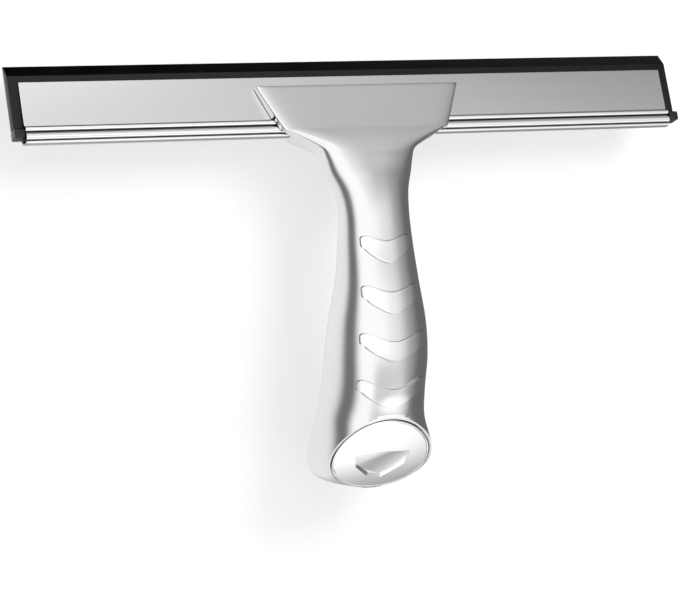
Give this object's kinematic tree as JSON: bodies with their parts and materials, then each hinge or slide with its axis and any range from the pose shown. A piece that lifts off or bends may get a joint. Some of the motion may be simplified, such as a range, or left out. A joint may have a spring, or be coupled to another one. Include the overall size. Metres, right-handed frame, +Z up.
{
  "type": "window cleaning squeegee",
  "caption": "Hand squeegee with a rubber blade in a leaning folded steel head and a waisted satin-chrome grip with raised chevron pads and an oval butt cap.",
  "frame": {"origin": "middle of the underside of the head's rolled channel, where the squeegee hangs on a hook", "axes": "+X along the blade, to the right seen from the front; -Y is the front of the grip; +Z up, with the blade on top and the handle hanging below"},
  "size_m": [0.2538, 0.0429, 0.1488],
  "materials": {
    "channel": "stainless sheet with a fine satin grain along its length and polished rolled beads",
    "rubber": "matte black moulded rubber",
    "end_cap": "black moulded rubber plugs",
    "clamp": "satin stainless plate",
    "fastener": "plain stainless screws, washers and push nut",
    "casting": "satin chrome over a smooth casting",
    "grip_pad": "satin chrome raised pads",
    "butt_cap": "bright chrome",
    "gasket": "soft black sealing ring"
  },
  "bodies": {
    "handle_and_head": {"steel_channel": "channel", "clamp_plate": "clamp", "clamp_washer_left": "fastener", "clamp_washer_right": "fastener", "clamp_screw_left": "fastener", "clamp_screw_right": "fastener", "handle_casting": "casting", "grip_pad_1": "grip_pad", "grip_pad_2": "grip_pad", "grip_pad_3": "grip_pad", "grip_pad_4": "grip_pad", "butt_cap": "butt_cap", "butt_cap_nut": "fastener", "rear_cover": "casting", "cover_gasket": "gasket", "cover_screw_upper": "fastener", "cover_screw_lower": "fastener"},
    "rubber": {"rubber_blade": "rubber"},
    "left_cap": {"end_cap_left": "end_cap"},
    "right_cap": {"end_cap_right": "end_cap"}
  },
  "joints": [
    {"name": "rubber_slide", "type": "slide", "parent": "handle_and_head", "child": "rubber", "axis": [1, 0, 0], "range_m": [0, 0.245]},
    {"name": "left_cap_pull", "type": "slide", "parent": "handle_and_head", "child": "left_cap", "axis": [-1, 0, 0], "range_m": [0, 0.008]},
    {"name": "right_cap_pull", "type": "slide", "parent": "rubber", "child": "right_cap", "axis": [1, 0, 0], "range_m": [0, 0.008]}
  ]
}
